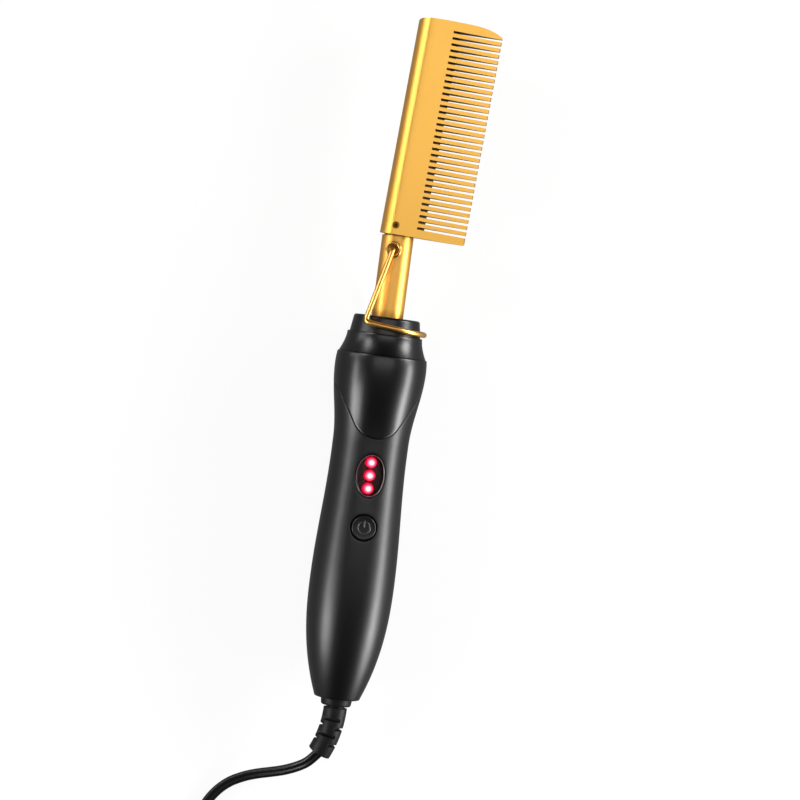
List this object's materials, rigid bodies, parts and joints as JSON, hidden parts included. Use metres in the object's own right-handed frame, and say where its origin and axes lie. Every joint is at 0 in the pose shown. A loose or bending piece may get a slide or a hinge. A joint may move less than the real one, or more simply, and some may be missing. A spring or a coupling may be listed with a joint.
{
  "type": "electric hot comb",
  "caption": "Electric hot comb: gold heated comb head on a tube neck, black handle with lamp window and power button, folding wire stand, corded with a round-pin plug.",
  "frame": {"origin": "centre of the base of the box round the comb without its free cord, on the surface that it lies on, back down", "axes": "+Y along the handle towards the comb head, +Z out of the front face that carries the window and the button, +X towards the teeth"},
  "size_m": [0.1044, 0.529, 0.0388],
  "materials": {
    "gold_head": "gold-coloured satin anodised",
    "gold_tube": "gold-coloured polished",
    "gold_wire": "gold-plated",
    "screw_steel": "zinc-plated",
    "element": "plain",
    "gloss_black": "satin gloss",
    "soft_black": "soft-touch",
    "phenolic": "heat-resistant",
    "window": "clear, smoked",
    "lamp": "lit red",
    "board": "circuit board",
    "white_plastic": "plain",
    "wire_white": "insulated wire",
    "wire_brown": "insulated wire",
    "cord_black": "smooth",
    "pin_metal": "nickel-plated"
  },
  "bodies": {
    "handle": {"comb_head": "gold_head", "set_screw": "screw_steel", "heating_element": "element", "thermistor": "wire_white", "neck_tube": "gold_tube", "pivot_rivets": "gold_wire", "collar_cap": "gloss_black", "collar_ring": "gloss_black", "guard_sleeve": "gloss_black", "tube_carrier": "phenolic", "grip_front": "soft_black", "grip_rear": "soft_black", "shell_screws": "screw_steel", "window_lens": "window", "led_holder": "gloss_black", "led_upper": "lamp", "led_middle": "lamp", "led_lower": "lamp", "tact_switch": "screw_steel", "circuit_board": "board", "board_screws": "screw_steel", "heater_leads": "wire_white", "mains_leads": "wire_brown", "cord_inner": "cord_black", "cord_clamp": "white_plastic", "clamp_screws": "screw_steel", "cord_bushing": "soft_black", "strain_relief": "cord_black", "cord_lead": "cord_black", "cord_coil": "cord_black", "cord_tail": "cord_black", "plug_body": "cord_black", "plug_pins": "pin_metal"},
    "stand": {"stand_wire": "gold_wire"},
    "button": {"power_button": "gloss_black", "switch_plunger": "white_plastic"}
  },
  "joints": [
    {"name": "stand_pivot", "type": "hinge", "parent": "handle", "child": "stand", "pos_m": [-0.00629, 0.05928, 0.0194], "axis": [-0.2756, 0, 0.9613], "range_deg": [0, 95]},
    {"name": "button_press", "type": "slide", "parent": "handle", "child": "button", "axis": [0, 0, -1], "range_m": [0, 0.0005], "stiffness_N_per_m": 1500, "springref_m": -0.0005}
  ]
}
